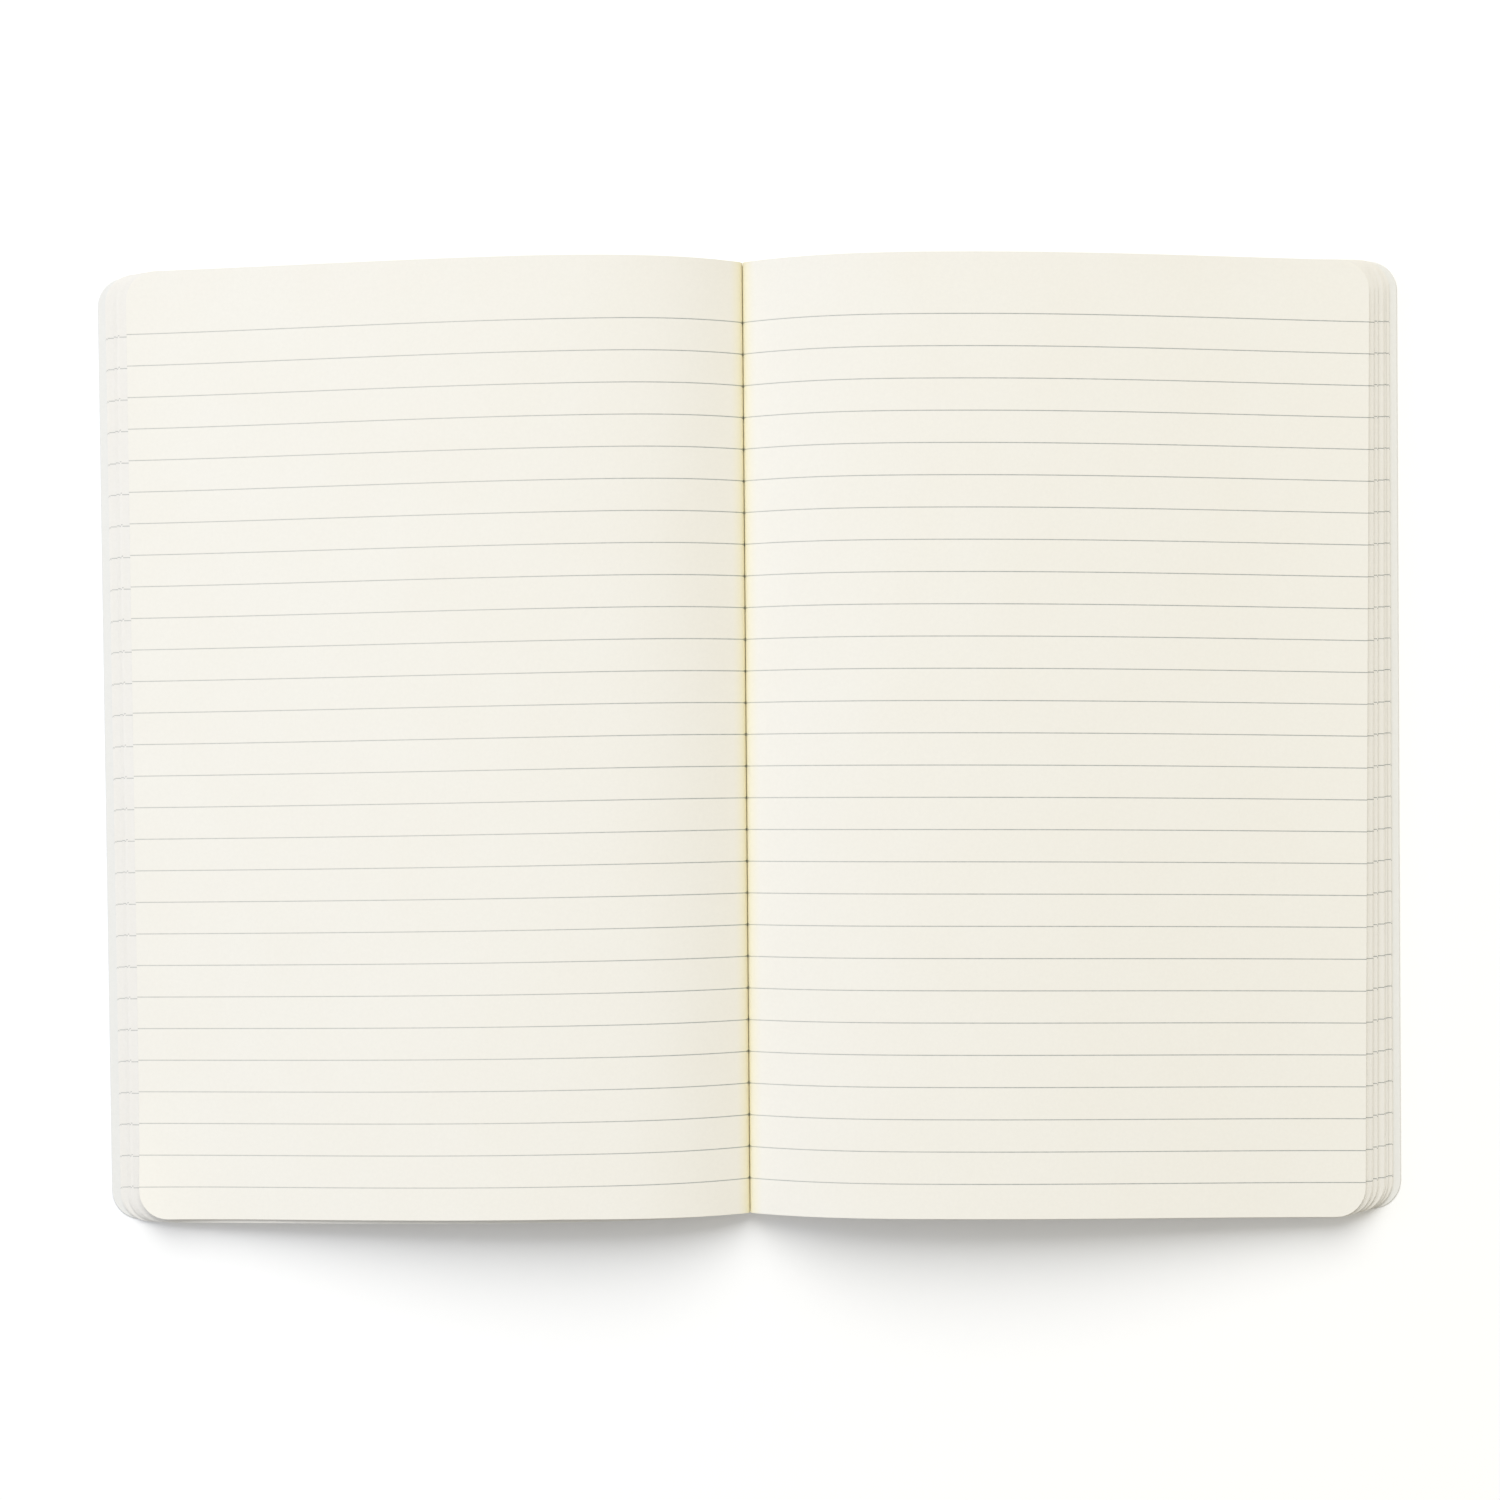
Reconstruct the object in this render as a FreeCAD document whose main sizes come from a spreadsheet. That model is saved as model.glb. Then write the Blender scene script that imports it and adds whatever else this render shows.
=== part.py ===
import FreeCAD, Part
import math
import os
import Sketcher

# An open ruled notebook with soft covers, lying on a table with its pages up.
# X runs to the right page, Y to the top edge of the pages and Z up. The origin is on the table,
# under the middle of the spine. Lengths are in millimetres and angles in degrees.
SIZES = {
    "page_height": 210,
    "cover_width": 140,
    "corner_radius": 6.5,
    "cover_thickness": 0.35,
    # The trimmed edge of a cover, pressed down by the cut.
    "cover_chamfer": 0.2,
    "leaf_thickness": 0.1,
    "left_leaves": 27,
    "right_leaves": 43,
    # A leaf's thickness with the air above it, where the leaves lie loose at the fore-edge.
    "left_leaf_pitch": 0.1,
    "right_leaf_pitch": 0.12,
    # The gutter's valley and the crown of each arch, above the table.
    "gutter_height": 3.8,
    "left_crown_top_end": 13.2,
    "left_crown_bottom_end": 13.1,
    "right_crown_top_end": 13.9,
    "right_crown_bottom_end": 13.8,
    "left_crown_offset": 41,
    "right_crown_offset": 48,
    # How much of the top leaf's width its arch and the binding take up, and how far inside
    # the cover's edge the lowest leaf ends.
    "left_takeup": 4,
    "right_takeup": 3.5,
    "lowest_leaf_inset": 1.8,
    # The fore-edges of the groups of leaves between the lowest and the top one, as shares of
    # the way from the lowest leaf's edge to the top leaf's.
    "left_fan_1": 0.37,
    "left_fan_2": 0.51,
    "right_fan_1": 0.17,
    "right_fan_2": 0.26,
    "right_fan_3": 0.53,
    "right_fan_4": 0.7,
    # How far each half of the leaves and each cover is turned, so that its fore-edge sits
    # towards the bottom.
    "left_turn": 0.45,
    "right_turn": 0.5,
    "left_cover_turn": 0.45,
    "right_cover_turn": 0.22,
}
# The groups of leaves that show as steps at each fore-edge.
LEFT_GROUPS = 4
RIGHT_GROUPS = 6
# Where the slope down to the fore-edge is set, as a share of the drop from the crown.
FALL_SHARE = 0.7
# Spare length of the uncut block at its ends and fore-edges, and how far the cuts reach out.
SPARE = 4
CUT_REACH = 12
# Points closer than this are taken as one place.
SAME_PLACE = 1e-4

doc = FreeCAD.newDocument("open_notebook")
sheet = doc.addObject("Spreadsheet::Sheet", "Sizes")
for row, (name, size) in enumerate(SIZES.items(), start=1):
    sheet.set(f"A{row}", name)
    sheet.set(f"B{row}", str(size))
    sheet.setAlias(f"B{row}", name)
doc.recompute()

BLOCK_THICKNESS = "(Sizes.left_leaves + Sizes.right_leaves) * Sizes.leaf_thickness"
SPINE_HALF = f"({BLOCK_THICKNESS} + 2 * Sizes.cover_thickness) / 2"
GUTTER_X = f"({SPINE_HALF} - Sizes.cover_thickness - Sizes.right_leaves * Sizes.leaf_thickness)"


class Half:
    """One half of the open book. side is -1 for the left half and 1 for the right."""

    def __init__(self, name, side, groups):
        self.name = name
        self.side = side
        self.groups = groups
        size = f"Sizes.{name}_"
        self.turn = f"({-side} * {size}turn)"
        self.cover_turn = f"({-side} * {size}cover_turn)"
        self.crown_offset = f"{size}crown_offset"
        self.top_reach = f"(Sizes.cover_width - {size}takeup)"
        self.stack = f"({size}leaves * {size}leaf_pitch)"
        self.edge_height = f"(Sizes.cover_thickness + {self.stack})"
        fold_from_gutter = f"({SPINE_HALF} - ({side}) * {GUTTER_X})"
        self.lowest_reach = f"({fold_from_gutter} + Sizes.cover_width - Sizes.lowest_leaf_inset)"

    def crown(self, end):
        return f"Sizes.{self.name}_crown_{end}_end"

    def share(self, group):
        """How much of the way from the lowest leaf to the top leaf a group has come, 0 the lowest."""
        if group in (0, self.groups - 1):
            return str(group // (self.groups - 1))
        return f"Sizes.{self.name}_fan_{group}"

    def reach(self, group):
        """The distance from the gutter to a group's fore-edge."""
        way = f"({self.top_reach} - {self.lowest_reach})"
        return f"({self.lowest_reach} + {way} * {self.share(group)})"

    def level(self, group):
        """The height of the underside of a group."""
        return f"(Sizes.cover_thickness + {self.stack} * {group / self.groups})"


LEFT = Half("left", -1, LEFT_GROUPS)
RIGHT = Half("right", 1, RIGHT_GROUPS)


def origin_plane(body, role):
    return next(plane for plane in body.Origin.OriginFeatures if plane.Role == role)


def new_sketch(body, name, role):
    """An empty sketch on one of the body's own origin planes."""
    sketch = body.newObject("Sketcher::SketchObject", name)
    sketch.AttachmentSupport = (origin_plane(body, role), "")
    sketch.MapMode = "FlatFace"
    return sketch


def place_flat_sketch(sketch, turn, x, z="0"):
    """Moves a level sketch and turns it about its own origin."""
    sketch.setExpression("AttachmentOffset.Base.x", x)
    sketch.setExpression("AttachmentOffset.Base.z", z)
    sketch.setExpression("AttachmentOffset.Rotation.Angle", turn)


def pin_point(sketch, geometry, point, x, y):
    """Binds a point of the sketch to two expressions."""
    for kind, expression in (("DistanceX", x), ("DistanceY", y)):
        start = sketch.evalExpression(expression)
        index = sketch.addConstraint(Sketcher.Constraint(kind, -1, 1, geometry, point, float(start)))
        sketch.setExpression(f"Constraints[{index}]", expression)


def value(expression):
    return float(sheet.evalExpression(expression))


def point_at(pair):
    x, y = pair
    return FreeCAD.Vector(value(x), value(y), 0)


def join(sketch, piece, following):
    """Ties the end of a piece to the start of the following one."""
    sketch.addConstraint(Sketcher.Constraint("Coincident", piece, 2, following, 1))


def draw_chain(sketch, points):
    """Straight lines through points, joined end to start."""
    lines = [sketch.addGeometry(Part.LineSegment(*ends)) for ends in zip(points, points[1:])]
    for line, following in zip(lines, lines[1:]):
        join(sketch, line, following)
    return lines


def draw_polygon(sketch, corners):
    """A closed outline of straight lines through corners given as pairs of expressions."""
    points = [point_at(corner) for corner in corners]
    lines = draw_chain(sketch, points + points[:1])
    join(sketch, lines[-1], lines[0])
    for line, (x, y) in zip(lines, corners):
        pin_point(sketch, line, 1, x, y)


def draw_curve(sketch, poles, after=None):
    """A cubic curve whose four poles are pairs of expressions. It may start where after ends."""
    points = [point_at(pole) for pole in poles]
    curve = sketch.addGeometry(Part.BSplineCurve(points, None, None, False, 3, None, False))
    sketch.exposeInternalGeometry(curve)
    if after is not None:
        join(sketch, after, curve)
    for number, (x, y) in enumerate(poles, start=1):
        if number > 1 or after is None:
            pin_point(sketch, curve + number, 3, x, y)
    return curve


def draw_section(body, half, end):
    """The uncut section of a half across the pages, at the top or the bottom end of the book."""
    sketch = new_sketch(body, f"{half.name}_section_{end}", "XZ_Plane")
    sketch.setExpression("AttachmentOffset.Base.x", GUTTER_X)
    along = "-1" if end == "top" else "1"
    sketch.setExpression("AttachmentOffset.Base.z", f"{along} * (Sizes.page_height / 2 + {SPARE})")

    def at(x, z):
        return (f"{half.side} * ({x})", z)

    crown = half.crown(end)
    fall_width = f"({half.top_reach} - {half.crown_offset})"
    rise_poles = [
        at("0", "Sizes.gutter_height"),
        at(f"{half.crown_offset} / 3", crown),
        at(f"{half.crown_offset} * 2 / 3", crown),
        at(half.crown_offset, crown),
    ]
    fall_poles = [
        at(half.crown_offset, crown),
        at(f"{half.crown_offset} + {fall_width} / 3", crown),
        at(
            f"{half.crown_offset} + {fall_width} * 2 / 3",
            f"{crown} - {FALL_SHARE} * ({crown} - {half.edge_height})",
        ),
        at(half.top_reach, half.edge_height),
    ]
    rise = draw_curve(sketch, rise_poles)
    fall = draw_curve(sketch, fall_poles, after=rise)
    far = f"{half.lowest_reach} + {SPARE}"
    corners = [
        at(half.top_reach, half.edge_height),
        at(far, half.edge_height),
        at(far, "Sizes.cover_thickness"),
        at("0", "Sizes.cover_thickness"),
        at("0", "Sizes.gutter_height"),
    ]
    lines = draw_chain(sketch, [point_at(corner) for corner in corners])
    join(sketch, fall, lines[0])
    join(sketch, lines[-1], rise)
    for line, (x, z) in list(zip(lines, corners))[1:]:
        pin_point(sketch, line, 1, x, z)
    return sketch


def draw_rounded_end(sketch, side, start, reach):
    """Draws the two long edges from start, the fore-edge at reach and its two round corners.

    Returns the two long edges. The upper one starts and the lower one ends at start.
    """
    half_height = "Sizes.page_height / 2"
    radius = "Sizes.corner_radius"
    x_start = side * value(start)
    x_reach = side * value(reach)
    y_edge = value(half_height)
    r = value(radius)
    x_arc = x_reach - side * r
    diagonal = r * math.sqrt(0.5)

    def vector(x, y):
        return FreeCAD.Vector(x, y, 0)

    upper = sketch.addGeometry(Part.LineSegment(vector(x_start, y_edge), vector(x_arc, y_edge)))
    upper_arc = sketch.addGeometry(
        Part.Arc(
            vector(x_arc, y_edge),
            vector(x_arc + side * diagonal, y_edge - r + diagonal),
            vector(x_reach, y_edge - r),
        )
    )
    fore_edge = sketch.addGeometry(
        Part.LineSegment(vector(x_reach, y_edge - r), vector(x_reach, r - y_edge))
    )
    lower_arc = sketch.addGeometry(
        Part.Arc(
            vector(x_reach, r - y_edge),
            vector(x_arc + side * diagonal, r - y_edge - diagonal),
            vector(x_arc, -y_edge),
        )
    )
    lower = sketch.addGeometry(Part.LineSegment(vector(x_arc, -y_edge), vector(x_start, -y_edge)))

    # An arc is stored counter-clockwise, so its ends swap between the two halves.
    first, last = (1, 2) if side < 0 else (2, 1)
    pieces = ((upper, 2, upper_arc, first), (upper_arc, last, fore_edge, 1))
    pieces += ((fore_edge, 2, lower_arc, first), (lower_arc, last, lower, 1))
    for piece, piece_end, following, following_end in pieces:
        sketch.addConstraint(
            Sketcher.Constraint("Tangent", piece, piece_end, following, following_end)
        )
    sketch.addConstraint(Sketcher.Constraint("Horizontal", upper))
    sketch.addConstraint(Sketcher.Constraint("Horizontal", lower))
    sketch.addConstraint(Sketcher.Constraint("Equal", upper_arc, lower_arc))
    index = sketch.addConstraint(Sketcher.Constraint("Radius", upper_arc, r))
    sketch.setExpression(f"Constraints[{index}]", radius)
    index = sketch.addConstraint(Sketcher.Constraint("DistanceX", -1, 1, fore_edge, 1, x_reach))
    sketch.setExpression(f"Constraints[{index}]", f"{side} * {reach}")
    pin_point(sketch, upper, 1, f"{side} * ({start})", half_height)
    pin_point(sketch, lower, 2, f"{side} * ({start})", f"-{half_height}")
    return upper, lower


def trim_leaves(body, half, group):
    """Cuts away all that lies outside a group of leaves, from its underside upwards."""
    sketch = new_sketch(body, f"{half.name}_trim_{group}", "XY_Plane")
    place_flat_sketch(sketch, half.turn, GUTTER_X, half.level(group))
    past_gutter = f"-{SPARE}"
    upper, lower = draw_rounded_end(sketch, half.side, past_gutter, half.reach(group))

    past_end = f"Sizes.page_height / 2 + {CUT_REACH}"
    past_edge = f"{half.side} * ({half.lowest_reach} + {CUT_REACH})"
    inner = f"{half.side} * ({past_gutter})"
    around = [
        (inner, f"-({past_end})"),
        (past_edge, f"-({past_end})"),
        (past_edge, past_end),
        (inner, past_end),
    ]
    page_bottom = (inner, "-Sizes.page_height / 2")
    page_top = (inner, "Sizes.page_height / 2")
    lines = draw_chain(sketch, [point_at(corner) for corner in (page_bottom, *around, page_top)])
    join(sketch, lower, lines[0])
    join(sketch, lines[-1], upper)
    for line, (x, y) in zip(lines, around):
        pin_point(sketch, line, 2, x, y)

    pocket = body.newObject("PartDesign::Pocket", f"{half.name}_leaves_{group}")
    pocket.Profile = sketch
    pocket.Type = "ThroughAll"
    pocket.Reversed = True


def make_page_block():
    """All the leaves as one solid: two arches that meet in the gutter, with stepped fore-edges."""
    body = doc.addObject("PartDesign::Body", "page_block")
    for half in (LEFT, RIGHT):
        loft = body.newObject("PartDesign::AdditiveLoft", f"{half.name}_arch")
        bottom = draw_section(body, half, "bottom")
        top = draw_section(body, half, "top")
        loft.Profile = bottom
        loft.Sections = [top]
        loft.Ruled = True
        body.Tip = loft
        doc.recompute()
    for half in (LEFT, RIGHT):
        for group in range(half.groups):
            before = body.Shape.Volume
            trim_leaves(body, half, group)
            doc.recompute()
            if body.Shape.Volume >= before:
                raise ValueError(f"{half.name} trim {group} cuts nothing")
    uncut = value(f"Sizes.page_height / 2 + {SPARE}") - SAME_PLACE
    if any(abs(vertex.Y) > uncut for vertex in body.Shape.Vertexes):
        raise ValueError("some of the page block's spare ends are left")
    return body


def pad_sheet(body, sketch):
    pad = body.newObject("PartDesign::Pad", f"{sketch.Name}_pad")
    pad.Profile = sketch
    pad.setExpression("Length", "Sizes.cover_thickness")


def make_spine():
    """The strip that carries the binding, as wide as the closed book is thick."""
    body = doc.addObject("PartDesign::Body", "spine")
    sketch = new_sketch(body, "spine_outline", "XY_Plane")
    half_height = "Sizes.page_height / 2"
    corners = [
        (f"-{SPINE_HALF}", f"-{half_height}"),
        (SPINE_HALF, f"-{half_height}"),
        (SPINE_HALF, half_height),
        (f"-{SPINE_HALF}", half_height),
    ]
    draw_polygon(sketch, corners)
    pad_sheet(body, sketch)
    return body


def is_trimmed_edge(edge, fold_x):
    """Whether an edge of a cover runs round its upper face, away from the fold."""
    box = edge.BoundBox
    upper = abs(box.ZMin - value("Sizes.cover_thickness")) < SAME_PLACE
    at_fold = abs(box.Center.x - fold_x) < SAME_PLACE
    return upper and not at_fold


def make_cover(name, half):
    """A cover of soft card, flat on the table, from its fold at the spine to its fore-edge."""
    body = doc.addObject("PartDesign::Body", name)
    sketch = new_sketch(body, f"{name}_outline", "XY_Plane")
    place_flat_sketch(sketch, half.cover_turn, f"{half.side} * {SPINE_HALF}")
    upper, lower = draw_rounded_end(sketch, half.side, f"-{SPARE}", "Sizes.cover_width")
    (closing,) = draw_chain(sketch, [sketch.getPoint(lower, 2), sketch.getPoint(upper, 1)])
    join(sketch, lower, closing)
    join(sketch, closing, upper)
    pad_sheet(body, sketch)
    doc.recompute()

    fold = new_sketch(body, f"{name}_fold", "XY_Plane")
    past_end = f"(Sizes.page_height / 2 + {SPARE})"
    fold_x = f"{half.side} * {SPINE_HALF}"
    past_fold = f"{half.side} * ({SPINE_HALF} - {CUT_REACH})"
    corners = [
        (past_fold, f"-{past_end}"),
        (fold_x, f"-{past_end}"),
        (fold_x, past_end),
        (past_fold, past_end),
    ]
    draw_polygon(fold, corners)
    before = body.Shape.Volume
    cut = body.newObject("PartDesign::Pocket", f"{name}_fold_cut")
    cut.Profile = fold
    cut.Type = "ThroughAll"
    cut.Reversed = True
    doc.recompute()
    if body.Shape.Volume >= before:
        raise ValueError(f"the fold of {name} cuts nothing")

    rim = [
        f"Edge{number}"
        for number, edge in enumerate(cut.Shape.Edges, start=1)
        if is_trimmed_edge(edge, value(fold_x))
    ]
    chamfer = body.newObject("PartDesign::Chamfer", f"{name}_pressed_edge")
    chamfer.Base = (cut, rim)
    chamfer.setExpression("Size", "Sizes.cover_chamfer")
    return body


def check_document():
    for item in doc.Objects:
        if "Invalid" in item.State or "Error" in item.State:
            raise ValueError(f"{item.Name} failed: {item.State}")


parts = [
    make_page_block(),
    make_spine(),
    make_cover("front_cover", LEFT),
    make_cover("back_cover", RIGHT),
]
doc.recompute()
check_document()
os.makedirs("parts", exist_ok=True)
for part in parts:
    if part.Shape.isNull() or not part.Shape.isValid() or len(part.Shape.Solids) != 1:
        raise ValueError(f"{part.Label} is not one valid solid")
    part.Shape.exportStep(f"parts/{part.Label}.step")
    print(part.Label, part.Shape.BoundBox)
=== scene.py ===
import math
import random

import bpy
from bpy.props import FloatProperty, FloatVectorProperty, IntProperty, PointerProperty
from mathutils import Matrix, Vector


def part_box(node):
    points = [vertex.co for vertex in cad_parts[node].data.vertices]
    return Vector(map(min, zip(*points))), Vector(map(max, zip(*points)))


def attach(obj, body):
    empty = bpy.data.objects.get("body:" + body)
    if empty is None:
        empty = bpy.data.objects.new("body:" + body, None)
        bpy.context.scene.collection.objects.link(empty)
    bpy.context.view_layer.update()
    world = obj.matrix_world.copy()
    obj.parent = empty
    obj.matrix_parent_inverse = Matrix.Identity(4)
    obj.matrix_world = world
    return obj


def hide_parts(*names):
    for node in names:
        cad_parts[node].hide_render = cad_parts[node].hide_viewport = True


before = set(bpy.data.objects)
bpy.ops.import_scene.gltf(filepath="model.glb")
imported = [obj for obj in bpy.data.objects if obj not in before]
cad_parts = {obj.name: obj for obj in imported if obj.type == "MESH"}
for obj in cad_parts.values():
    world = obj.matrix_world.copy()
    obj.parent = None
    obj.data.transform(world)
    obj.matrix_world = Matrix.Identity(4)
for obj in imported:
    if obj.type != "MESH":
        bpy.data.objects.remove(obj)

bl_info = {
    "name": "Open Composition Notebook",
    "version": (1, 0, 0),
    "blender": (4, 5, 0),
    "location": "3D View > Sidebar > Notebook",
    "description": "Leaves, ruling, covers and stage of an open soft-cover notebook",
    "category": "Object",
}

MM = 0.001
SPINE_LOW, SPINE_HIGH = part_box("spine")
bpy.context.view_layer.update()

# Where the groups of leaves end at each fore-edge, from the lowest leaf's edge (0) to the top one's (1).
FANS = {"left": (0.0, 0.37, 0.51, 1.0), "right": (0.0, 0.17, 0.26, 0.53, 0.7, 1.0)}
# The share of a group's height that is air below its lowest leaf.
GROUP_GAP = 0.2
# The share of the room behind a group that its own leaves spread over, and how ragged they lie.
GROUP_SPREAD = 0.3
EDGE_RAGGEDNESS = 0.08
# How unevenly the air lies between the leaves, as a share of one leaf's air.
AIR_RAGGEDNESS = 0.45
# How unevenly the lines are placed from leaf to leaf.
LINE_RAGGEDNESS = 0.22 * MM
DRAW_SEED = 11

# The share of a leaf's thickness that is paper, so that leaves lying together don't touch.
SHEET_SHARE = 0.75
# The top leaves that sit a little towards the top.
RISEN_LEAVES = 4
# Distance from the gutter in which the binding holds the leaves in line.
HELD_REACH = 40 * MM
# How far from the corner of the top leaf its lift begins.
CORNER_LIFT_REACH = 28 * MM
# How far beyond each end of the page the arch has the crown height given for that end.
CROWN_PAST_END = 4 * MM
# How soon the arch falls beyond its crown. At 3 it would reach the fore-edge level.
FALL_FULLNESS = 2.1
# Distance over which the slope of a leaf is measured.
SLOPE_STEP = 0.05 * MM

# Points across a leaf: up to the crown, down to the corner, and round the corner.
RISE_COLUMNS = 16
FALL_COLUMNS = 18
CORNER_COLUMNS = 8
# How closely the points crowd towards the gutter.
COLUMN_CROWDING = 2.2
# Points along a leaf. The lower leaves are straight in that direction.
LOWER_LEAF_ROWS = 2
TOP_LEAF_ROWS = 20

# Distances along the paper from the binding, within which something fades out.
PRESSED_LINE_ENDS = (2.4 * MM, 4.0 * MM)
# Painted shade: paper within this distance of the binding is tinted warm and darker, for light bouncing
# deep in the gutter.
GUTTER_SHADE_REACH = (3.0 * MM, 6.8 * MM)
# Painted light: over this distance the lines' strength changes, fainter where the page lies in brighter
# light.
LINE_CONTRAST_REACH = (5 * MM, 70 * MM)
# Where the lower leaves' paper starts to count, past the part that gets the painted warm shade of the
# gutter.
PAST_FOLD = 12 * MM
SOFT_LINE_EDGE = 0.05 * MM

FLOOR_REACH = 4.0
FLOOR_DROP = 0.02 * MM
FLOOR_GREY = (0.8, 0.8, 0.8)
# Distances from the book within which its shadow is seen, and beyond which the floor is all white.
SHADOW_REACH = 0.2
WHITE_REACH = 0.4
WHITE = (1.0, 1.0, 1.0)
SKY_TINT = (1.0, 0.985, 0.955)
SENSOR_WIDTH = 36


def length(name, description, default):
    """A length in metres that a user may change."""
    return FloatProperty(
        name=name, description=description, default=default, unit="LENGTH", precision=5
    )


def colour(name, description, default):
    """A linear colour that a user may change."""
    return FloatVectorProperty(
        name=name, description=description, default=default, subtype="COLOR", size=3, min=0, max=1
    )


def angle(name, description, degrees):
    """An angle that a user may change, given here in degrees."""
    return FloatProperty(
        name=name, description=description, default=math.radians(degrees), subtype="ANGLE"
    )


def share(name, description, default):
    """A plain factor that a user may change."""
    return FloatProperty(name=name, description=description, default=default, min=0)


def half_properties(side, leaves, pitch, crown_ends, crown, takeup, turns, slides, bends, line_contrasts):
    """The sizes that one half of the open book has of its own."""
    top_end, bottom_end = crown_ends
    lowest_turn, top_turn = turns
    slide, rise, line_slide = slides
    bow, droop, corner_lift = bends
    at_gutter, at_edge = line_contrasts
    return {
        "leaves": IntProperty(name="Leaves", description=f"Leaves in the {side} half", default=leaves),
        "leaf_pitch": length("Leaf pitch", "A leaf with the air above it, at the fore-edge", pitch),
        "crown_top_end": length("Crown, top end", "Height of the arch at the top", top_end),
        "crown_bottom_end": length("Crown, bottom end", "Height of the arch at the bottom", bottom_end),
        "crown_offset": length("Crown offset", "From the gutter to the crown of the arch", crown),
        "takeup": length("Take-up", "Leaf width that the arch and the binding take up", takeup),
        "turn": angle("Turn", "How far the lowest leaf is turned about the gutter", lowest_turn),
        "top_leaf_turn": angle("Top leaf turn", "How far the top leaf is turned", top_turn),
        "slide": length("Slide", "How far the lower leaves show beyond the bottom edge", slide),
        "rise": length("Rise", "How far the top edges sit towards the top", rise),
        "line_slide": length("Line slide", "How much lower the lowest leaf's lines are", line_slide),
        "bow": length("Bow", "How far a ruled line bends towards the bottom", bow),
        "droop": length("Droop", "How far the stack drops beyond the top leaf's edge", droop),
        "corner_lift": length("Corner lift", "How far the top leaf's lower corner lifts", corner_lift),
        # Painted light: the lines' strength by the gutter and by the fore-edge makes them fainter where
        # the page is brighter lit.
        "print_at_gutter": share("Print at gutter", "Strength of the lines by the gutter", at_gutter),
        "print_at_edge": share("Print at edge", "Strength of the lines by the fore-edge", at_edge),
    }


class NotebookLeftHalf(bpy.types.PropertyGroup):
    """Sizes of the left half"""

    __annotations__ = half_properties(
        side="left",
        leaves=27,
        pitch=0.1 * MM,
        crown_ends=(13.2 * MM, 13.1 * MM),
        crown=41 * MM,
        takeup=4 * MM,
        turns=(0.5, 0.45),
        slides=(0.3 * MM, 0.6 * MM, 0.5 * MM),
        bends=(-0.45 * MM, 0.5 * MM, 2.1 * MM),
        line_contrasts=(1.04, 0.66),
    )


class NotebookRightHalf(bpy.types.PropertyGroup):
    """Sizes of the right half"""

    __annotations__ = half_properties(
        side="right",
        leaves=43,
        pitch=0.12 * MM,
        crown_ends=(13.9 * MM, 13.8 * MM),
        crown=48 * MM,
        takeup=3.5 * MM,
        turns=(0.22, 0.7),
        slides=(0.1 * MM, 0.15 * MM, 0.2 * MM),
        bends=(0.58 * MM, 1.4 * MM, 0.2 * MM),
        line_contrasts=(0.75, 1.0),
    )


class NotebookLeaves(bpy.types.PropertyGroup):
    """Sizes that all the leaves share"""

    page_height: length("Page height", "Height of a leaf", SPINE_HIGH[1] - SPINE_LOW[1])
    corner_radius: length("Corner radius", "Round corners at the fore-edge", 6.5 * MM)
    leaf_thickness: length("Leaf thickness", "Thickness of one leaf", 0.1 * MM)
    gutter_height: length("Gutter height", "Valley between the halves, above the table", 3.8 * MM)
    gutter_plunge: length("Gutter plunge", "How much deeper the leaves dip at the binding", 1.0 * MM)
    gutter_plunge_width: length("Plunge width", "Distance in which that dip fades", 0.22 * MM)
    lowest_leaf_inset: length("Lowest leaf inset", "Lowest leaf inside the cover's edge", 1.8 * MM)
    cover_width: length("Cover width", "From a cover's fold to its fore-edge", 140 * MM)


class NotebookPaper(bpy.types.PropertyGroup):
    """Finish of the paper and its ruling"""

    paper: colour("Paper", "Colour of the writing paper", (0.931, 0.909, 0.845))
    # Painted shade: a warm, darker tint deep in the gutter that stands in for light bouncing between the
    # pages.
    gutter_bounce_shade: colour("Fold tint", "Tint of the paper deep in the gutter", (1.0, 0.97, 0.8))
    # Painted shade: the lower leaves that show past the top one get paper darker and greyer by this
    # tone, for the shade they lie in beside the top leaf.
    fan_shade_tone: colour("Edge tone", "Tint of the leaves that show past the top one", (0.96, 0.962, 0.983))
    line: colour("Line", "Colour of the printed lines", (0.35, 0.37, 0.355))
    line_count: IntProperty(name="Lines", description="Ruled lines on a page", default=28)
    line_pitch: length("Line pitch", "Distance between lines", 7 * MM)
    line_width: length("Line width", "Width of a printed line", 0.21 * MM)
    first_line: length("First line", "From the top edge of the page to the first line", 13.3 * MM)


class NotebookCover(bpy.types.PropertyGroup):
    """Finish of the card covers"""

    card: colour("Card", "Colour of the cover card", (0.888, 0.882, 0.847))


class NotebookStage(bpy.types.PropertyGroup):
    """Camera, light and floor"""

    camera_height: length("Camera height", "Above the table", 0.6)
    camera_tilt: angle("Camera tilt", "Away from straight down", 0.74)
    camera_roll: angle("Camera roll", "About the view axis", 0.48)
    view_width: length("View width", "Width of table in the picture", 0.3335)
    aim_x: length("Aim across", "Middle of the picture, across the pages", 0.0)
    aim_y: length("Aim along", "Middle of the picture, along the gutter", -2.65 * MM)
    lens_drop: length("Lens drop", "How far below the aim the lens stands", 15.8 * MM)
    sky: share("Sky", "Level of the even light", 0.43)
    key: share("Key", "Level of the soft lamp beyond the top", 0.547)
    left: share("Left light", "Level of the cool light from the left", 0.09)
    right: share("Right light", "Level of the warm light from the right", 0.028)
    floor_lift: share("Floor lift", "How much brighter the camera sees the floor", 1.07)


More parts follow.
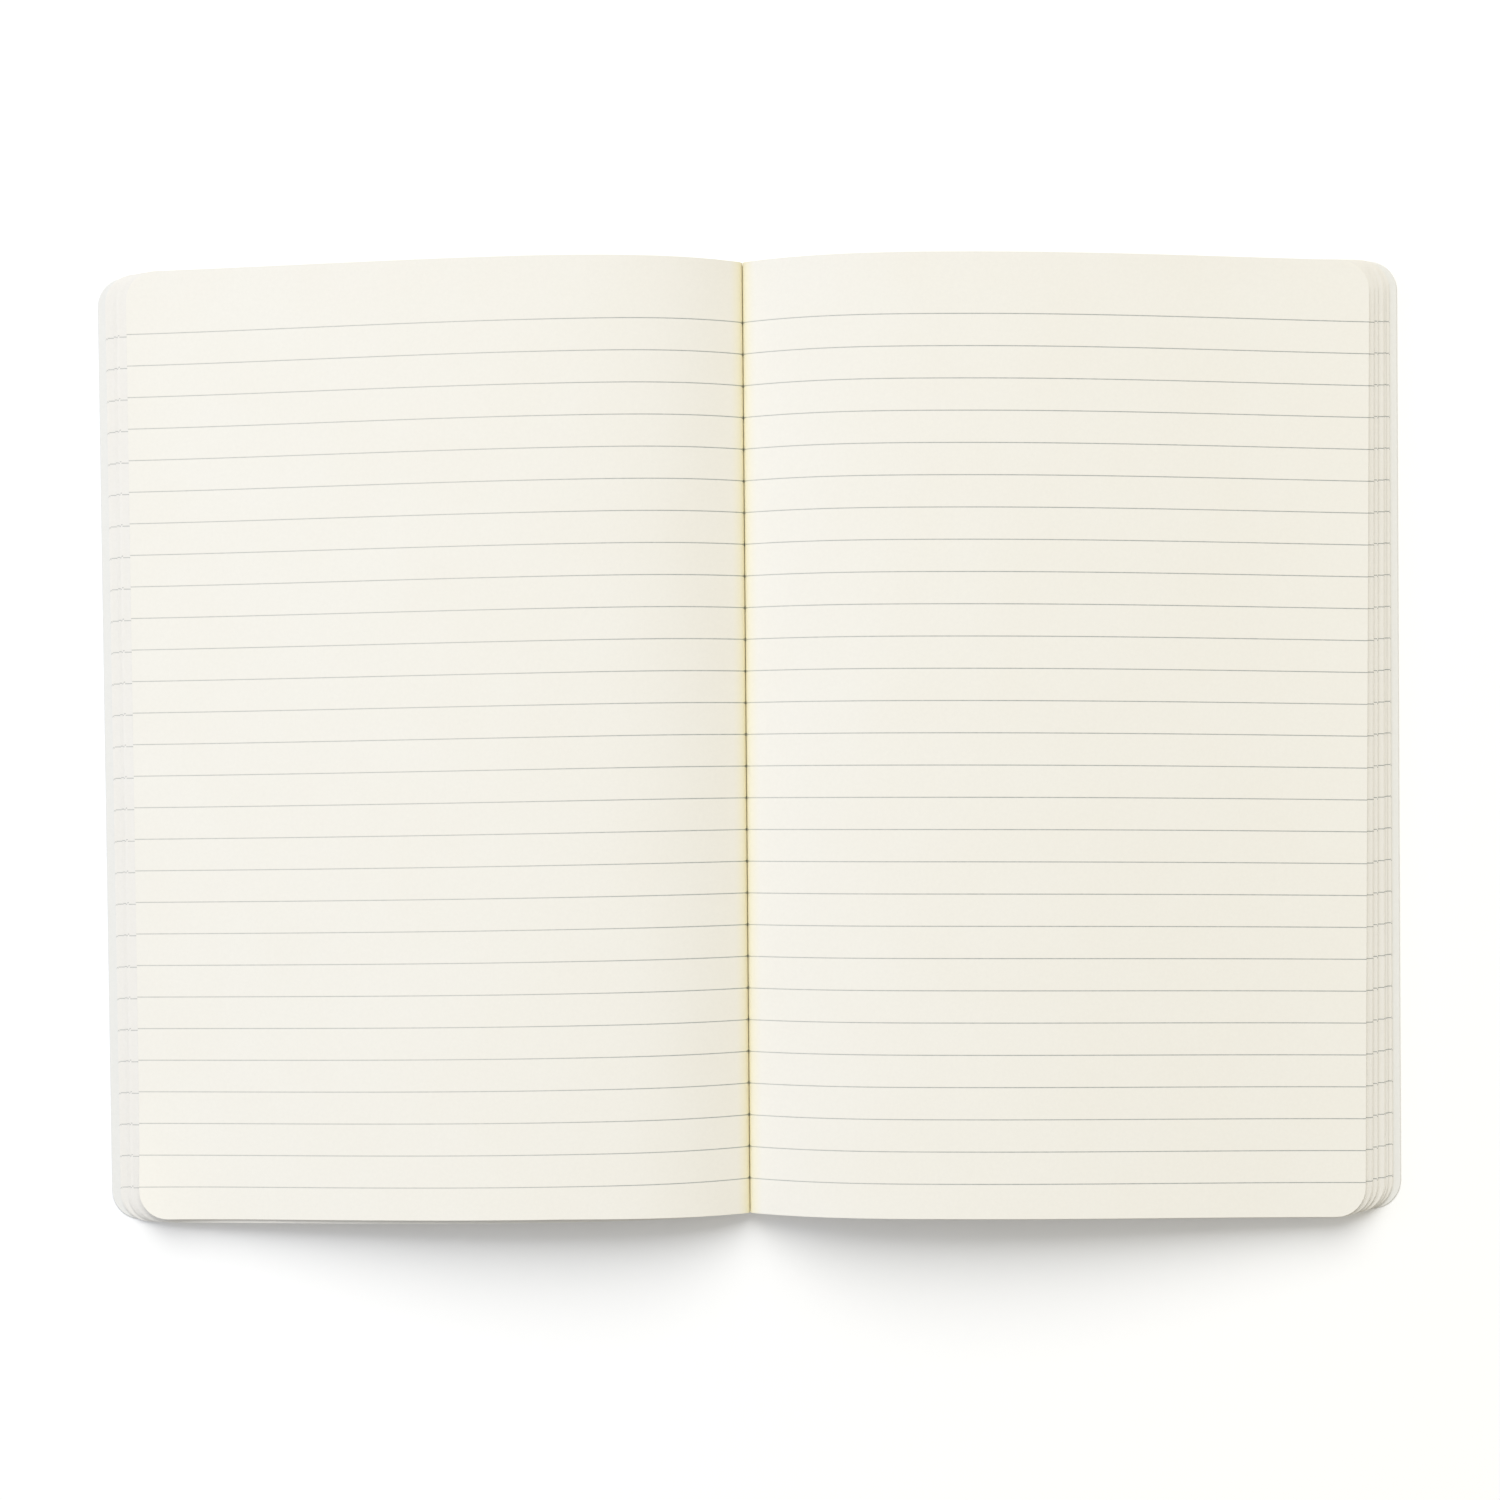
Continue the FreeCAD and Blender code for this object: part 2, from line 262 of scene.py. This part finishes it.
class Half:
    """One half of the open book, with side -1 for the left one and 1 for the right one."""

    def __init__(self, name, scene):
        self.name = name
        self.side = -1 if name == "left" else 1
        self.sizes = scene.notebook_left if name == "left" else scene.notebook_right
        self.shared = scene.notebook_leaves
        self.groups = FANS[name]
        other = scene.notebook_right if name == "left" else scene.notebook_left
        thickness = self.shared.leaf_thickness
        self.base = SPINE_HIGH[2]
        self.gutter_x = (self.sizes.leaves - other.leaves) * thickness / 2 * -self.side
        fold_from_gutter = self.sizes.leaves * thickness + self.base
        self.top_reach = self.shared.cover_width - self.sizes.takeup
        self.lowest_reach = fold_from_gutter + self.shared.cover_width - self.shared.lowest_leaf_inset
        self.edge_height = self.base + self.sizes.leaves * self.sizes.leaf_pitch

    def place(self, number):
        """The group that a leaf lies in, and how far up in that group it is."""
        group, within = divmod(number * len(self.groups) / self.sizes.leaves, 1.0)
        return int(group), within

    def level(self, number):
        """How high a leaf's upper side is in the stack, from 0 to 1, with air between the groups."""
        group, within = self.place(number)
        upper = within + len(self.groups) / self.sizes.leaves
        return (group + min(1.0, GROUP_GAP + (1 - GROUP_GAP) * upper)) / len(self.groups)

    def drawn_back(self, number, draw):
        """How far a leaf's fore-edge is drawn back, from the lowest leaf's (0) to the top leaf's (1).

        Within a group each leaf lies a little behind the one below.
        """
        group, within = self.place(number)
        start = self.groups[group]
        room = self.groups[group + 1] - start if group + 1 < len(self.groups) else 0.0
        return start + room * (GROUP_SPREAD * within + draw.uniform(0.0, EDGE_RAGGEDNESS))

    def top_height(self, across, along):
        """Height of the top leaf, across from the gutter and along from the middle of the page."""
        sizes = self.sizes
        towards_top = 0.5 + along / (self.shared.page_height + 2 * CROWN_PAST_END)
        crown = sizes.crown_bottom_end + (sizes.crown_top_end - sizes.crown_bottom_end) * towards_top
        gutter = self.shared.gutter_height
        if across < sizes.crown_offset:
            risen = 1 - (1 - across / sizes.crown_offset) ** 3
            dip = self.shared.gutter_plunge * math.exp(-across / self.shared.gutter_plunge_width)
            return gutter + (crown - gutter) * risen - dip
        if across < self.top_reach:
            t = (across - sizes.crown_offset) / (self.top_reach - sizes.crown_offset)
            return crown - (crown - self.edge_height) * (FALL_FULLNESS * (1 - t) * t**2 + t**3)
        beyond = (across - self.top_reach) / (self.lowest_reach - self.top_reach)
        return self.edge_height - sizes.droop * beyond


class Leaf:
    """One leaf of a half. Leaf 0 lies on the cover, and the last one is the page that shows."""

    def __init__(self, half, number, drawn_back, jitter, line_drop):
        sizes = half.sizes
        last = sizes.leaves - 1
        self.half = half
        self.is_top = number == last
        self.is_risen = number > last - RISEN_LEAVES
        self.jitter = jitter
        self.line_drop = line_drop
        self.level = half.level(number)
        self.start = (last - number + 0.5) * half.shared.leaf_thickness
        self.reach = half.lowest_reach + (half.top_reach - half.lowest_reach) * drawn_back
        self.stretch = half.top_reach / (half.top_reach - self.start)
        self.lean = math.sin(sizes.turn + (sizes.top_leaf_turn - sizes.turn) * drawn_back)
        self.half_height = half.shared.page_height / 2
        self.sheet = SHEET_SHARE * half.shared.leaf_thickness

    def columns(self):
        """Distances from the gutter at which the leaf has points, closer together where it bends."""
        crown = self.half.sizes.crown_offset
        radius = self.half.shared.corner_radius
        rise = [(k / RISE_COLUMNS) ** COLUMN_CROWDING for k in range(RISE_COLUMNS)]
        fall = self.reach - radius - crown - self.start
        turns = [math.pi / 2 * k / CORNER_COLUMNS for k in range(CORNER_COLUMNS + 1)]
        columns = [self.start + crown * step for step in rise]
        columns += [self.start + crown + fall * k / FALL_COLUMNS for k in range(FALL_COLUMNS)]
        columns += [self.reach - radius + radius * math.sin(turn) for turn in turns]
        return columns

    def shortened(self, across):
        """How much the round corner takes off each end of the leaf there."""
        radius = self.half.shared.corner_radius
        over = across - (self.reach - radius)
        if over <= 0:
            return 0.0
        return radius - math.sqrt(max(0.0, radius**2 - over**2))

    def height(self, across, along):
        """Height of the leaf's upper side."""
        half = self.half
        top = half.top_height(max(0.0, (across - self.start) * self.stretch), along)
        air = max(0.0, (top - half.base) / half.sizes.leaves - half.shared.leaf_thickness)
        height = half.base + (top - half.base) * self.level + air * self.jitter
        if self.is_top:
            to_edge = max(0.0, 1 - (self.reach - across) / CORNER_LIFT_REACH)
            to_bottom = max(0.0, 1 - (self.half_height + along) / CORNER_LIFT_REACH)
            height += half.sizes.corner_lift * (to_edge * to_bottom) ** 2
        return height

    def facing(self, across, along):
        """The direction, across and up, that the leaf's upper side faces."""
        step_up = self.height(across + SLOPE_STEP, along) - self.height(across, along)
        return Vector((-step_up / SLOPE_STEP, 1.0)).normalized()

    def settled(self, across, along):
        """Where the leaf's turn, slide and bow take one of its points, and how far it slides."""
        sizes = self.half.sizes
        reach = self.half.top_reach
        from_top = 0 if self.is_risen else (1 - along / self.half_height) / 2
        slid = (sizes.slide + sizes.rise) * from_top - sizes.rise
        slid *= min(1.0, across / HELD_REACH)
        free = max(0.0, (across - HELD_REACH) / (reach - HELD_REACH))
        bowed = sizes.bow * (free**2 - across / reach)
        moved_across = across + along * self.lean * across / reach
        moved_along = along - across * self.lean - slid - bowed
        return moved_across, moved_along, slid


def add_leaf(leaf, rows, mesh):
    """Adds a leaf to the mesh lists, with its two sides a sheet's thickness apart."""
    half = leaf.half
    # The first two stations climb from the cover to the leaf's own level at the binding.
    stations = [(leaf.start, 0.0), (leaf.start, 0.5)] + [(across, 1.0) for across in leaf.columns()]
    first = len(mesh["points"])
    travelled = 0.0 if leaf.is_top else PAST_FOLD
    previous = None
    for across, climbed in stations:
        middle = Vector((across, half.base + (leaf.height(across, 0.0) - half.base) * climbed))
        if previous is not None:
            travelled += (middle - previous).length
        previous = middle
        for row in range(rows + 1):
            along = (leaf.half_height - leaf.shortened(across)) * (1 - 2 * row / rows)
            height = half.base + (leaf.height(across, along) - half.base) * climbed
            facing = leaf.facing(across, along) if climbed == 1.0 else Vector((-1.0, 0.0))
            for depth in (0.0, leaf.sheet):
                x, y, slid = leaf.settled(across - facing.x * depth, along)
                mesh["points"].append((half.gutter_x + half.side * x, y, height - facing.y * depth))
                mesh["uvs"].append((travelled, leaf.half_height - along + slid - leaf.line_drop))
    add_leaf_faces(mesh["faces"], first, len(stations), rows, mirrored=half.side < 0)


def add_leaf_faces(faces, first, stations, rows, mirrored):
    """Adds the faces of a leaf's two sides and its four rims."""

    def face(*corners):
        numbers = [first + (station * (rows + 1) + row) * 2 + side for station, row, side in corners]
        faces.append(numbers[::-1] if mirrored else numbers)

    for near in range(stations - 1):
        far = near + 1
        for row in range(rows):
            face((near, row, 0), (near, row + 1, 0), (far, row + 1, 0), (far, row, 0))
            face((near, row, 1), (far, row, 1), (far, row + 1, 1), (near, row + 1, 1))
        face((near, 0, 0), (far, 0, 0), (far, 0, 1), (near, 0, 1))
        face((near, rows, 0), (near, rows, 1), (far, rows, 1), (far, rows, 0))
    last = stations - 1
    for row in range(rows):
        face((0, row, 0), (0, row, 1), (0, row + 1, 1), (0, row + 1, 0))
    for row in range(rows):
        face((last, row + 1, 0), (last, row + 1, 1), (last, row, 1), (last, row, 0))


def add_piece(name, mesh, material):
    """Makes a mesh object from lists of points, faces and page coordinates."""
    data = bpy.data.meshes.new(name)
    data.from_pydata(mesh["points"], [], mesh["faces"])
    layer = data.uv_layers.new(name="page")
    for loop in data.loops:
        layer.data[loop.index].uv = mesh["uvs"][loop.vertex_index]
    data.update()
    data.shade_smooth()
    data.set_sharp_from_angle(angle=math.radians(50))
    data.materials.append(material)
    piece = bpy.data.objects.new(name, data)
    bpy.context.scene.collection.objects.link(piece)
    return piece


class NodeWork:
    """The nodes of a material or world, with short ways to add to them."""

    def __init__(self, owner):
        owner.use_nodes = True
        self.nodes = owner.node_tree.nodes
        self.links = owner.node_tree.links

    def feed(self, socket, value):
        """Joins a socket to another node's output, or sets it to a plain number or colour."""
        if isinstance(value, bpy.types.NodeSocket):
            self.links.new(value, socket)
        elif isinstance(value, (int, float)):
            socket.default_value = value
        else:
            socket.default_value = (*value, 1.0)

    def add(self, kind, inputs):
        """A new node with some of its inputs fed."""
        node = self.nodes.new(kind)
        for name, value in inputs.items():
            self.feed(node.inputs[name], value)
        return node

    def maths(self, operation, *values, clamp=False):
        """The result of a math node."""
        node = self.add("ShaderNodeMath", dict(enumerate(values)))
        node.operation = operation
        node.use_clamp = clamp
        return node.outputs[0]

    def noise(self, place, scale, detail=3.0, roughness=0.55):
        """A noise texture."""
        inputs = {"Vector": place, "Scale": scale, "Detail": detail, "Roughness": roughness}
        return self.add("ShaderNodeTexNoise", inputs).outputs["Fac"]

    def fade(self, value, reach, ends):
        """A smooth change between two numbers while the value goes through its reach."""
        low, high = reach
        at_low, at_high = ends
        node = self.nodes.new("ShaderNodeMapRange")
        node.interpolation_type = "SMOOTHSTEP"
        numbers = {"From Min": low, "From Max": high, "To Min": at_low, "To Max": at_high}
        for name, number in numbers.items():
            node.inputs[name].default_value = number
        self.links.new(value, node.inputs["Value"])
        return node.outputs["Result"]

    def mix(self, factor, first, second, blend="MIX"):
        """A mix of two colours."""
        node = self.nodes.new("ShaderNodeMix")
        node.data_type = "RGBA"
        node.blend_type = blend
        for name, value in (("Factor", factor), ("A", first), ("B", second)):
            self.feed(node.inputs[name], value)
        return node.outputs["Result"]

    def mix_shaders(self, factor, first, second):
        """A mix of two shaders."""
        node = self.add("ShaderNodeMixShader", {0: factor, 1: first, 2: second})
        return node.outputs[0]

    def place(self):
        """The place on the object."""
        return self.nodes.new("ShaderNodeTexCoord").outputs["Object"]

    def finish_surface(self, base, roughness, specular, grain, bump, depth):
        """Feeds the principled shader of a matt surface whose grain stands out a little."""
        shader = self.nodes["Principled BSDF"]
        self.feed(shader.inputs["Base Color"], base)
        self.feed(shader.inputs["Roughness"], roughness)
        self.feed(shader.inputs["Specular IOR Level"], specular)
        node = self.add("ShaderNodeBump", {"Strength": bump, "Distance": depth, "Height": grain})
        self.feed(shader.inputs["Normal"], node.outputs["Normal"])


def printed_lines(work, page, settings, half):
    """How strongly the ruling is printed at each point of the page, from 0 to 1."""
    from_binding = page.outputs["X"]
    down = work.maths("SUBTRACT", page.outputs["Y"], settings.first_line)
    line_number = work.maths("DIVIDE", down, settings.line_pitch)
    nearest = work.maths("ROUND", line_number)
    off_line = work.maths("ABSOLUTE", work.maths("SUBTRACT", line_number, nearest))
    distance = work.maths("MULTIPLY", off_line, settings.line_pitch)

    # The lines look thicker where they run down into the binding.
    at_binding = work.fade(from_binding, PRESSED_LINE_ENDS, (1.0, 0.0))
    plain_half_width = (settings.line_width + SOFT_LINE_EDGE) / 2
    half_width = work.maths("MULTIPLY_ADD", at_binding, settings.line_width, plain_half_width)
    inside = work.maths("SUBTRACT", half_width, distance)
    printed = work.maths("DIVIDE", inside, SOFT_LINE_EDGE, clamp=True)

    after_first = work.maths("GREATER_THAN", nearest, -0.5)
    before_last = work.maths("LESS_THAN", nearest, settings.line_count - 0.5)
    printed = work.maths("MULTIPLY", printed, after_first)
    printed = work.maths("MULTIPLY", printed, before_last)

    ink = work.noise(work.place(), 900.0, detail=2.0)
    ink = work.maths("MULTIPLY_ADD", ink, 0.5, 0.6, clamp=True)
    printed = work.maths("MULTIPLY", printed, ink)
    # Painted light: the lines are made fainter where the page is brighter lit, on the left page towards
    # its fore-edge and on the right page towards the gutter.
    ends = (half.sizes.print_at_gutter, half.sizes.print_at_edge)
    strength = work.fade(from_binding, LINE_CONTRAST_REACH, ends)
    return work.maths("MULTIPLY", printed, strength, clamp=True)


def ruled_paper(name, settings, half, tone):
    """Ivory writing paper with its fibres and the printed lines, placed by page coordinates."""
    material = bpy.data.materials.new(name)
    work = NodeWork(material)
    page_map = work.nodes.new("ShaderNodeUVMap")
    page_map.uv_map = "page"
    page = work.add("ShaderNodeSeparateXYZ", {"Vector": page_map.outputs["UV"]})
    printed = printed_lines(work, page, settings, half)

    clouds = work.noise(work.place(), 60.0)
    fibres = work.noise(work.place(), 1400.0, detail=4.0, roughness=0.7)
    # For the lower leaves the tone is a painted shade; the top page gets white, so no change.
    paper = tuple(channel * toned for channel, toned in zip(settings.paper, tone))
    warm = (paper[0] * 0.985, paper[1] * 0.975, paper[2] * 0.955)
    base = work.mix(clouds, paper, warm)
    speckle = work.maths("MULTIPLY_ADD", fibres, 0.07, 0.965)
    grey = work.add("ShaderNodeCombineColor", {"Red": speckle, "Green": speckle, "Blue": speckle})
    base = work.mix(1.0, base, grey.outputs["Color"], blend="MULTIPLY")
    base = work.mix(printed, base, settings.line)
    # Painted shade: the paper near the binding is multiplied by a warm, darker tint for the light
    # bouncing in the gutter.
    painted_gutter_shade = work.fade(page.outputs["X"], GUTTER_SHADE_REACH, (1.0, 0.0))
    base = work.mix(painted_gutter_shade, base, settings.gutter_bounce_shade, blend="MULTIPLY")

    roughness = work.maths("MULTIPLY_ADD", fibres, 0.16, 0.78)
    work.finish_surface(base, roughness, specular=0.25, grain=fibres, bump=0.25, depth=0.02 * MM)
    return material


def cover_card(settings):
    """Pale matt card with a faint grain."""
    material = bpy.data.materials.new("pale_cover_card")
    work = NodeWork(material)
    clouds = work.noise(work.place(), 45.0)
    grain = work.noise(work.place(), 1100.0, detail=5.0, roughness=0.7)
    shade = tuple(channel * 0.965 for channel in settings.card)
    darker = tuple(channel * 0.93 for channel in settings.card)
    base = work.mix(clouds, settings.card, shade)
    flecks = work.maths("MULTIPLY_ADD", grain, 1.4, -0.45, clamp=True)
    base = work.mix(flecks, base, darker)

    roughness = work.maths("MULTIPLY_ADD", grain, 0.2, 0.55)
    work.finish_surface(base, roughness, specular=0.3, grain=grain, bump=0.3, depth=0.03 * MM)
    return material


class NOTEBOOK_OT_leaves(bpy.types.Operator):
    """Make the leaves of both halves, arched from the binding to the fanned fore-edges"""

    bl_idname = "notebook.leaves"
    bl_label = "Leaves"

    def execute(self, context):
        draw = random.Random(DRAW_SEED)
        paper = context.scene.notebook_paper
        for name in ("left", "right"):
            half = Half(name, context.scene)
            last = half.sizes.leaves - 1
            lower = {"points": [], "faces": [], "uvs": []}
            for number in range(last):
                jitter = draw.uniform(-AIR_RAGGEDNESS, AIR_RAGGEDNESS)
                drawn_back = half.drawn_back(number, draw)
                line_drop = half.sizes.line_slide * (1 - drawn_back)
                line_drop += draw.uniform(-LINE_RAGGEDNESS, LINE_RAGGEDNESS)
                leaf = Leaf(half, number, drawn_back, jitter, line_drop)
                add_leaf(leaf, LOWER_LEAF_ROWS, lower)
            page = {"points": [], "faces": [], "uvs": []}
            top_leaf = Leaf(half, last, drawn_back=1.0, jitter=0.0, line_drop=0.0)
            add_leaf(top_leaf, TOP_LEAF_ROWS, page)

            # The lower leaves get a painted-shade copy of the paper, darker and greyer than the top
            # page's.
            shaded_leaf_paper = ruled_paper(f"{name}_ruled_leaves", paper, half, paper.fan_shade_tone)
            page_paper = ruled_paper(f"{name}_ruled_page", paper, half, WHITE)
            for title, mesh, material in (("leaves", lower, shaded_leaf_paper), ("page", page, page_paper)):
                piece = add_piece(f"{name}_{title}", mesh, material)
                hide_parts("page_block")
                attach(piece, "book")
        return {"FINISHED"}


class NOTEBOOK_OT_covers(bpy.types.Operator):
    """Finish the covers and the spine strip as pale card"""

    bl_idname = "notebook.covers"
    bl_label = "Covers and spine"

    def execute(self, context):
        material = cover_card(context.scene.notebook_cover)
        for name in ("front_cover", "back_cover", "spine"):
            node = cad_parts[name]
            node.data.materials.clear()
            node.data.materials.append(material)
        return {"FINISHED"}


def floor_finish(lift):
    """A pale floor that the camera sees as white, with the book's shadow near the book."""
    material = bpy.data.materials.new("pale_floor")
    work = NodeWork(material)
    work.nodes.clear()
    output = work.nodes.new("ShaderNodeOutputMaterial")
    path = work.nodes.new("ShaderNodeLightPath")
    plain = work.add("ShaderNodeBsdfDiffuse", {"Color": FLOOR_GREY})
    white = work.add("ShaderNodeBsdfDiffuse", {"Color": WHITE})
    extra = work.add("ShaderNodeBsdfDiffuse", {"Color": (lift - 1, lift - 1, lift - 1)})
    lifted = work.add("ShaderNodeAddShader", {0: white.outputs[0], 1: extra.outputs[0]})
    far = work.add("ShaderNodeEmission", {"Color": WHITE, "Strength": 1.0})

    distance = work.nodes.new("ShaderNodeVectorMath")
    distance.operation = "LENGTH"
    work.feed(distance.inputs[0], work.place())
    farness = work.fade(distance.outputs["Value"], (SHADOW_REACH, WHITE_REACH), (0.0, 1.0))
    seen = work.mix_shaders(farness, lifted.outputs[0], far.outputs[0])
    surface = work.mix_shaders(path.outputs["Is Camera Ray"], plain.outputs[0], seen)
    work.feed(output.inputs["Surface"], surface)
    return material


def make_floor(lift):
    """A wide flat floor just under the book."""
    reach = FLOOR_REACH
    corners = [(-reach, -reach, 0), (reach, -reach, 0), (reach, reach, 0), (-reach, reach, 0)]
    data = bpy.data.meshes.new("floor")
    data.from_pydata(corners, [], [(0, 1, 2, 3)])
    data.materials.append(floor_finish(lift))
    floor = bpy.data.objects.new("floor", data)
    floor.location.z = -FLOOR_DROP
    bpy.context.scene.collection.objects.link(floor)


def make_sky(level):
    """Even light from all round, which the camera sees as white."""
    world = bpy.data.worlds.new("studio")
    bpy.context.scene.world = world
    work = NodeWork(world)
    is_camera = work.nodes.new("ShaderNodeLightPath").outputs["Is Camera Ray"]
    background = work.nodes["Background"]
    work.feed(background.inputs["Color"], work.mix(is_camera, SKY_TINT, WHITE))
    strength = work.maths("MULTIPLY_ADD", is_camera, 1 - level, level)
    work.feed(background.inputs["Strength"], strength)


def make_lamp(name, level, tint, direction, distance, size):
    """A square soft lamp that lights the middle of the book to the given level."""
    toward = Vector(direction).normalized()
    data = bpy.data.lights.new(name, "AREA")
    data.shape = "SQUARE"
    data.size = size
    data.color = tint
    data.energy = level * math.pi**2 * distance**2 / toward.z
    lamp = bpy.data.objects.new(name, data)
    lamp.location = toward * distance
    lamp.rotation_euler = toward.to_track_quat("Z", "Y").to_euler()
    bpy.context.scene.collection.objects.link(lamp)


def make_lamps(settings):
    """A large soft lamp beyond the top of the pages, and a small faint one on each side."""
    make_lamp(
        "key",
        settings.key,
        tint=(1.0, 1.0, 0.98),
        direction=(-0.08, 0.705, 0.695),
        distance=6.0,
        size=5.0,
    )
    make_lamp(
        "left",
        settings.left,
        tint=(0.86, 1.0, 1.35),
        direction=(-0.78, 0.1, 0.62),
        distance=1.1,
        size=0.6,
    )
    make_lamp(
        "right",
        settings.right,
        tint=(1.2, 1.0, 0.2),
        direction=(0.78, 0.0, 0.62),
        distance=1.1,
        size=0.6,
    )


def make_camera(settings):
    """The camera above the gutter, with its lens moved down and its picture back up."""
    data = bpy.data.cameras.new("camera")
    data.sensor_width = SENSOR_WIDTH
    data.lens = SENSOR_WIDTH * settings.camera_height / settings.view_width
    data.shift_y = settings.lens_drop / settings.view_width
    camera = bpy.data.objects.new("camera", data)
    bpy.context.scene.collection.objects.link(camera)
    tilt = settings.camera_tilt
    roll = settings.camera_roll
    toward = Vector((math.sin(tilt), 0, math.cos(tilt)))
    up = Vector((math.sin(roll), math.cos(roll), 0))
    right = up.cross(toward).normalized()
    up = toward.cross(right)
    aim = Vector((settings.aim_x, settings.aim_y, 0)) - up * settings.lens_drop
    turned = Matrix((right, up, toward)).transposed().to_4x4()
    camera.matrix_world = Matrix.Translation(aim + toward * settings.camera_height) @ turned
    bpy.context.scene.camera = camera


class NOTEBOOK_OT_stage(bpy.types.Operator):
    """Set up the white floor, the soft light and the camera above the book"""

    bl_idname = "notebook.stage"
    bl_label = "Stage"

    def execute(self, context):
        settings = context.scene.notebook_stage
        context.scene.view_settings.view_transform = "Standard"
        make_floor(settings.floor_lift)
        make_sky(settings.sky)
        make_lamps(settings)
        make_camera(settings)
        return {"FINISHED"}


class NOTEBOOK_PT_panel(bpy.types.Panel):
    """Sizes, finishes and build steps of the notebook"""

    bl_label = "Open notebook"
    bl_idname = "NOTEBOOK_PT_panel"
    bl_space_type = "VIEW_3D"
    bl_region_type = "UI"
    bl_category = "Notebook"

    def draw(self, context):
        for title, name in SETTINGS:
            box = self.layout.box()
            box.label(text=title)
            group = getattr(context.scene, name)
            for setting in group.bl_rna.properties:
                if setting.identifier not in ("rna_type", "name"):
                    box.prop(group, setting.identifier)
        for operator in OPERATORS:
            self.layout.operator(operator.bl_idname)


SETTINGS = (
    ("Left half", "notebook_left"),
    ("Right half", "notebook_right"),
    ("Leaves", "notebook_leaves"),
    ("Paper", "notebook_paper"),
    ("Cover", "notebook_cover"),
    ("Stage", "notebook_stage"),
)
GROUPS = (
    NotebookLeftHalf,
    NotebookRightHalf,
    NotebookLeaves,
    NotebookPaper,
    NotebookCover,
    NotebookStage,
)
OPERATORS = (NOTEBOOK_OT_leaves, NOTEBOOK_OT_covers, NOTEBOOK_OT_stage)
CLASSES = (*GROUPS, *OPERATORS, NOTEBOOK_PT_panel)


def register():
    for cls in CLASSES:
        bpy.utils.register_class(cls)
    for (title, name), group in zip(SETTINGS, GROUPS):
        setattr(bpy.types.Scene, name, PointerProperty(type=group, name=title))


def unregister():
    for title, name in SETTINGS:
        delattr(bpy.types.Scene, name)
    for cls in reversed(CLASSES):
        bpy.utils.unregister_class(cls)


def main():
    register()
    bpy.ops.notebook.leaves()
    bpy.ops.notebook.covers()
    bpy.ops.notebook.stage()


if __name__ == "__main__":
    main()
